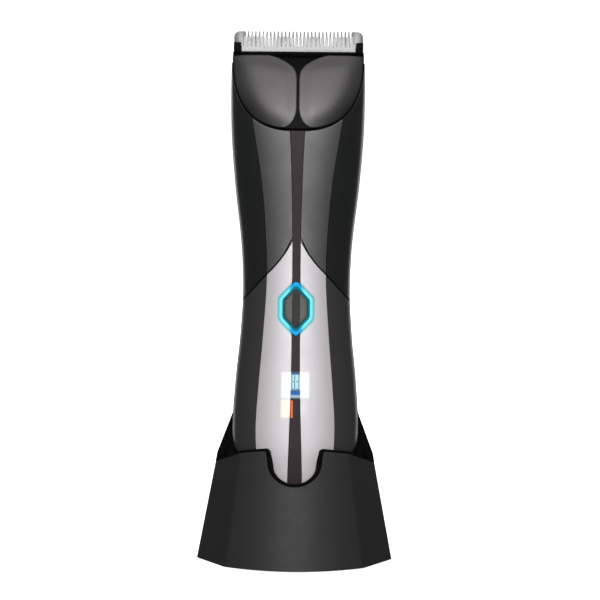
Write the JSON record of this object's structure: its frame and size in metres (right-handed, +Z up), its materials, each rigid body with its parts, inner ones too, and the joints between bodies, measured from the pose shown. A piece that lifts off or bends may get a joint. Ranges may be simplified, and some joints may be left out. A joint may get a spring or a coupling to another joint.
{
  "type": "body groomer with charging dock",
  "caption": "Cordless body groomer with a reciprocating ceramic blade under a steel comb, a lit power button and a pull-off blade head, standing in a charging dock.",
  "frame": {"origin": "on the surface the dock stands on, under the centre of the dock's foot", "axes": "+Z up along the groomer, -Y towards the front with the button and display, +X to the right seen from the back"},
  "size_m": [0.0626, 0.048, 0.1681],
  "materials": {
    "dock_plastic": "satin black moulding, fine spark texture",
    "cradle_plastic": "matte black moulding",
    "pad_rubber": "matte",
    "seal_rubber": "matte",
    "steel_fastener": "zinc plated",
    "circuit_board": "green solder mask",
    "socket_steel": "drawn steel",
    "contact_gold": "gold plated",
    "spring_steel": "spring wire",
    "side_gloss": "high-gloss black",
    "upper_panel_paint": "satin gunmetal lacquer",
    "lower_side_gloss": "gloss anthracite",
    "silver_paint": "pearl silver lacquer",
    "strip_gloss": "smoked translucent gloss",
    "back_soft": "soft-touch black",
    "ring_light": "lit cyan light guide",
    "button_satin": "satin anthracite",
    "switch_plastic": "moulded",
    "display_white": "lit digit module",
    "cell_sleeve": "shrink sleeve",
    "nickel": "nickel strip",
    "chassis_plastic": "glass-filled moulding",
    "motor_steel": "drawn can",
    "rotor_steel": "ground",
    "head_gloss": "high-gloss black",
    "lobe_gloss": "gloss gunmetal",
    "frame_black": "semi-gloss black",
    "comb_steel": "ground steel",
    "blade_ceramic": "white ceramic",
    "follower_plastic": "acetal"
  },
  "bodies": {
    "dock": {"dock_shell": "dock_plastic", "cradle_insert": "cradle_plastic", "base_plate": "cradle_plastic", "anti_slip_pad": "pad_rubber", "base_screws": "steel_fastener", "dock_circuit_board": "circuit_board", "usb_socket": "socket_steel", "contact_block": "cradle_plastic", "contact_spring_left": "spring_steel", "contact_spring_right": "spring_steel"},
    "contact_left": {"contact_pin_left": "contact_gold"},
    "contact_right": {"contact_pin_right": "contact_gold"},
    "handle": {"upper_front_shell": "side_gloss", "upper_panel_left": "upper_panel_paint", "upper_panel_right": "upper_panel_paint", "lower_front_shell": "lower_side_gloss", "silver_panel_left": "silver_paint", "silver_panel_right": "silver_paint", "centre_strip": "strip_gloss", "back_shell": "back_soft", "bottom_cap": "back_soft", "charge_contacts": "contact_gold", "light_ring": "ring_light", "button_seal": "seal_rubber", "main_circuit_board": "circuit_board", "tact_switch": "switch_plastic", "display_module": "display_white", "battery_cell": "cell_sleeve", "battery_tabs": "nickel", "inner_chassis": "chassis_plastic", "case_screws": "steel_fastener", "motor_body": "motor_steel", "motor_mount": "chassis_plastic", "mount_screws": "steel_fastener", "neck_plate": "chassis_plastic", "neck_seal": "seal_rubber"},
    "button": {"power_button": "button_satin"},
    "rotor": {"drive_rotor": "rotor_steel"},
    "head": {"head_shell": "head_gloss", "lobe_left": "lobe_gloss", "lobe_right": "lobe_gloss", "blade_frame": "frame_black", "fixed_blade": "comb_steel", "blade_screws": "steel_fastener", "blade_spring": "spring_steel"},
    "cutter": {"moving_blade": "blade_ceramic", "drive_follower": "follower_plastic"}
  },
  "joints": [
    {"name": "handle_lift", "type": "slide", "parent": "dock", "child": "handle", "axis": [0, 0, 1], "range_m": [0, 0.06]},
    {"name": "contact_press_left", "type": "slide", "parent": "dock", "child": "contact_left", "axis": [0, 0, 1], "range_m": [-0.001, 0], "stiffness_N_per_m": 250, "springref_m": 0.0004, "deforming": ["contact_spring_left"]},
    {"name": "contact_press_right", "type": "slide", "parent": "dock", "child": "contact_right", "axis": [0, 0, 1], "range_m": [-0.001, 0], "stiffness_N_per_m": 250, "springref_m": 0.0004, "deforming": ["contact_spring_right"]},
    {"name": "button_press", "type": "slide", "parent": "handle", "child": "button", "axis": [0, 1, 0], "range_m": [0, 0.0007], "stiffness_N_per_m": 600},
    {"name": "rotor_spin", "type": "hinge", "parent": "handle", "child": "rotor", "pos_m": [0, 0.001, 0.12], "axis": [0, 0, 1], "continuous": true},
    {"name": "head_release", "type": "slide", "parent": "handle", "child": "head", "axis": [0, 0, 1], "range_m": [0, 0.025]},
    {"name": "cutter_stroke", "type": "slide", "parent": "head", "child": "cutter", "axis": [1, 0, 0], "range_m": [-0.0011, 0.0011]}
  ]
}
